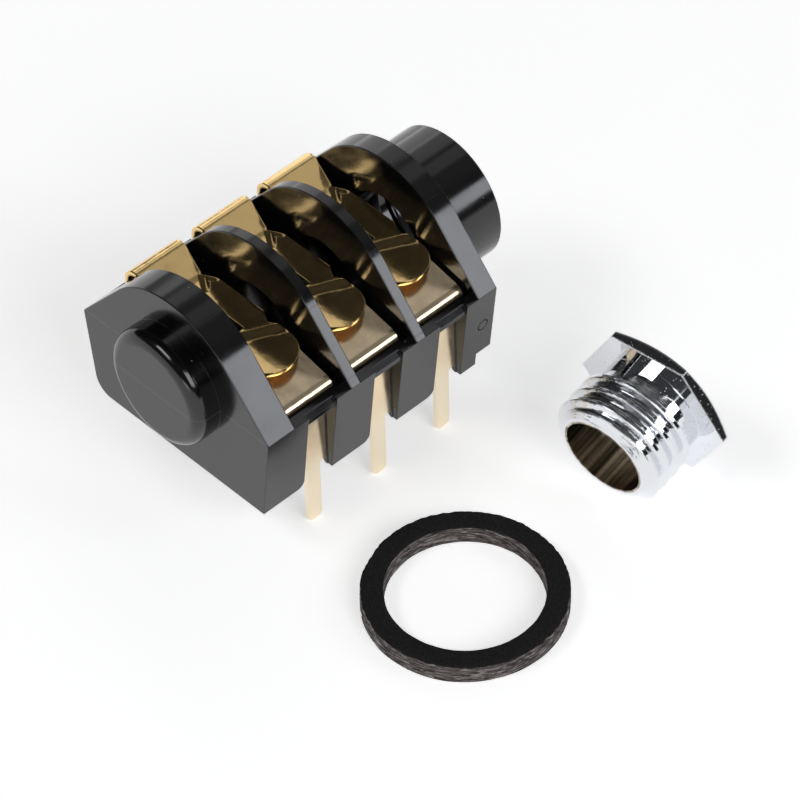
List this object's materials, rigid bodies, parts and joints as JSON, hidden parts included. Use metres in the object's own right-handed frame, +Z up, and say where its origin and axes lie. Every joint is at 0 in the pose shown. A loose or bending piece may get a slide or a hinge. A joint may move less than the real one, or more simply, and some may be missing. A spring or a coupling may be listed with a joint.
{
  "type": "audio jack socket",
  "caption": "Panel and board mount audio jack socket with sprung switching contacts, solder pins, a loose threaded hex ferrule and a fibre washer.",
  "frame": {"origin": "on the plug axis, in the plane of the flange's front face", "axes": "+X along the plug axis from the tail to the nose, +Z up, the solder pins point to -Z, the spring contacts' terminals are on +Y"},
  "size_m": [0.0305, 0.0385, 0.0193],
  "materials": {
    "housing": "glossy black moulded nylon",
    "contacts": "bright gold plating on spring bronze",
    "ferrule": "polished chrome",
    "washer": "matte black pressed fibre"
  },
  "bodies": {
    "socket": {"housing": "housing", "tip_break": "contacts", "ring_break": "contacts", "sleeve_break": "contacts", "tip_terminal": "contacts", "ring_terminal": "contacts", "sleeve_terminal": "contacts", "ferrule": "ferrule", "washer": "washer"},
    "tip_leaf": {"tip_arm": "contacts"},
    "ring_leaf": {"ring_arm": "contacts"},
    "sleeve_leaf": {"sleeve_arm": "contacts"}
  },
  "joints": [
    {"name": "tip_flex", "type": "hinge", "parent": "socket", "child": "tip_leaf", "pos_m": [-0.01695, 0.00698, 0.00291], "axis": [-1, 0, 0], "range_deg": [0, 12.5], "stiffness_Nm_per_rad": 0.004, "springref_deg": -1.15},
    {"name": "ring_flex", "type": "hinge", "parent": "socket", "child": "ring_leaf", "pos_m": [-0.0106, 0.00698, 0.00291], "axis": [-1, 0, 0], "range_deg": [0, 12.5], "stiffness_Nm_per_rad": 0.004, "springref_deg": -1.15},
    {"name": "sleeve_flex", "type": "hinge", "parent": "socket", "child": "sleeve_leaf", "pos_m": [-0.00425, 0.00698, 0.00291], "axis": [-1, 0, 0], "range_deg": [0, 12.5], "stiffness_Nm_per_rad": 0.004, "springref_deg": -1.15}
  ]
}
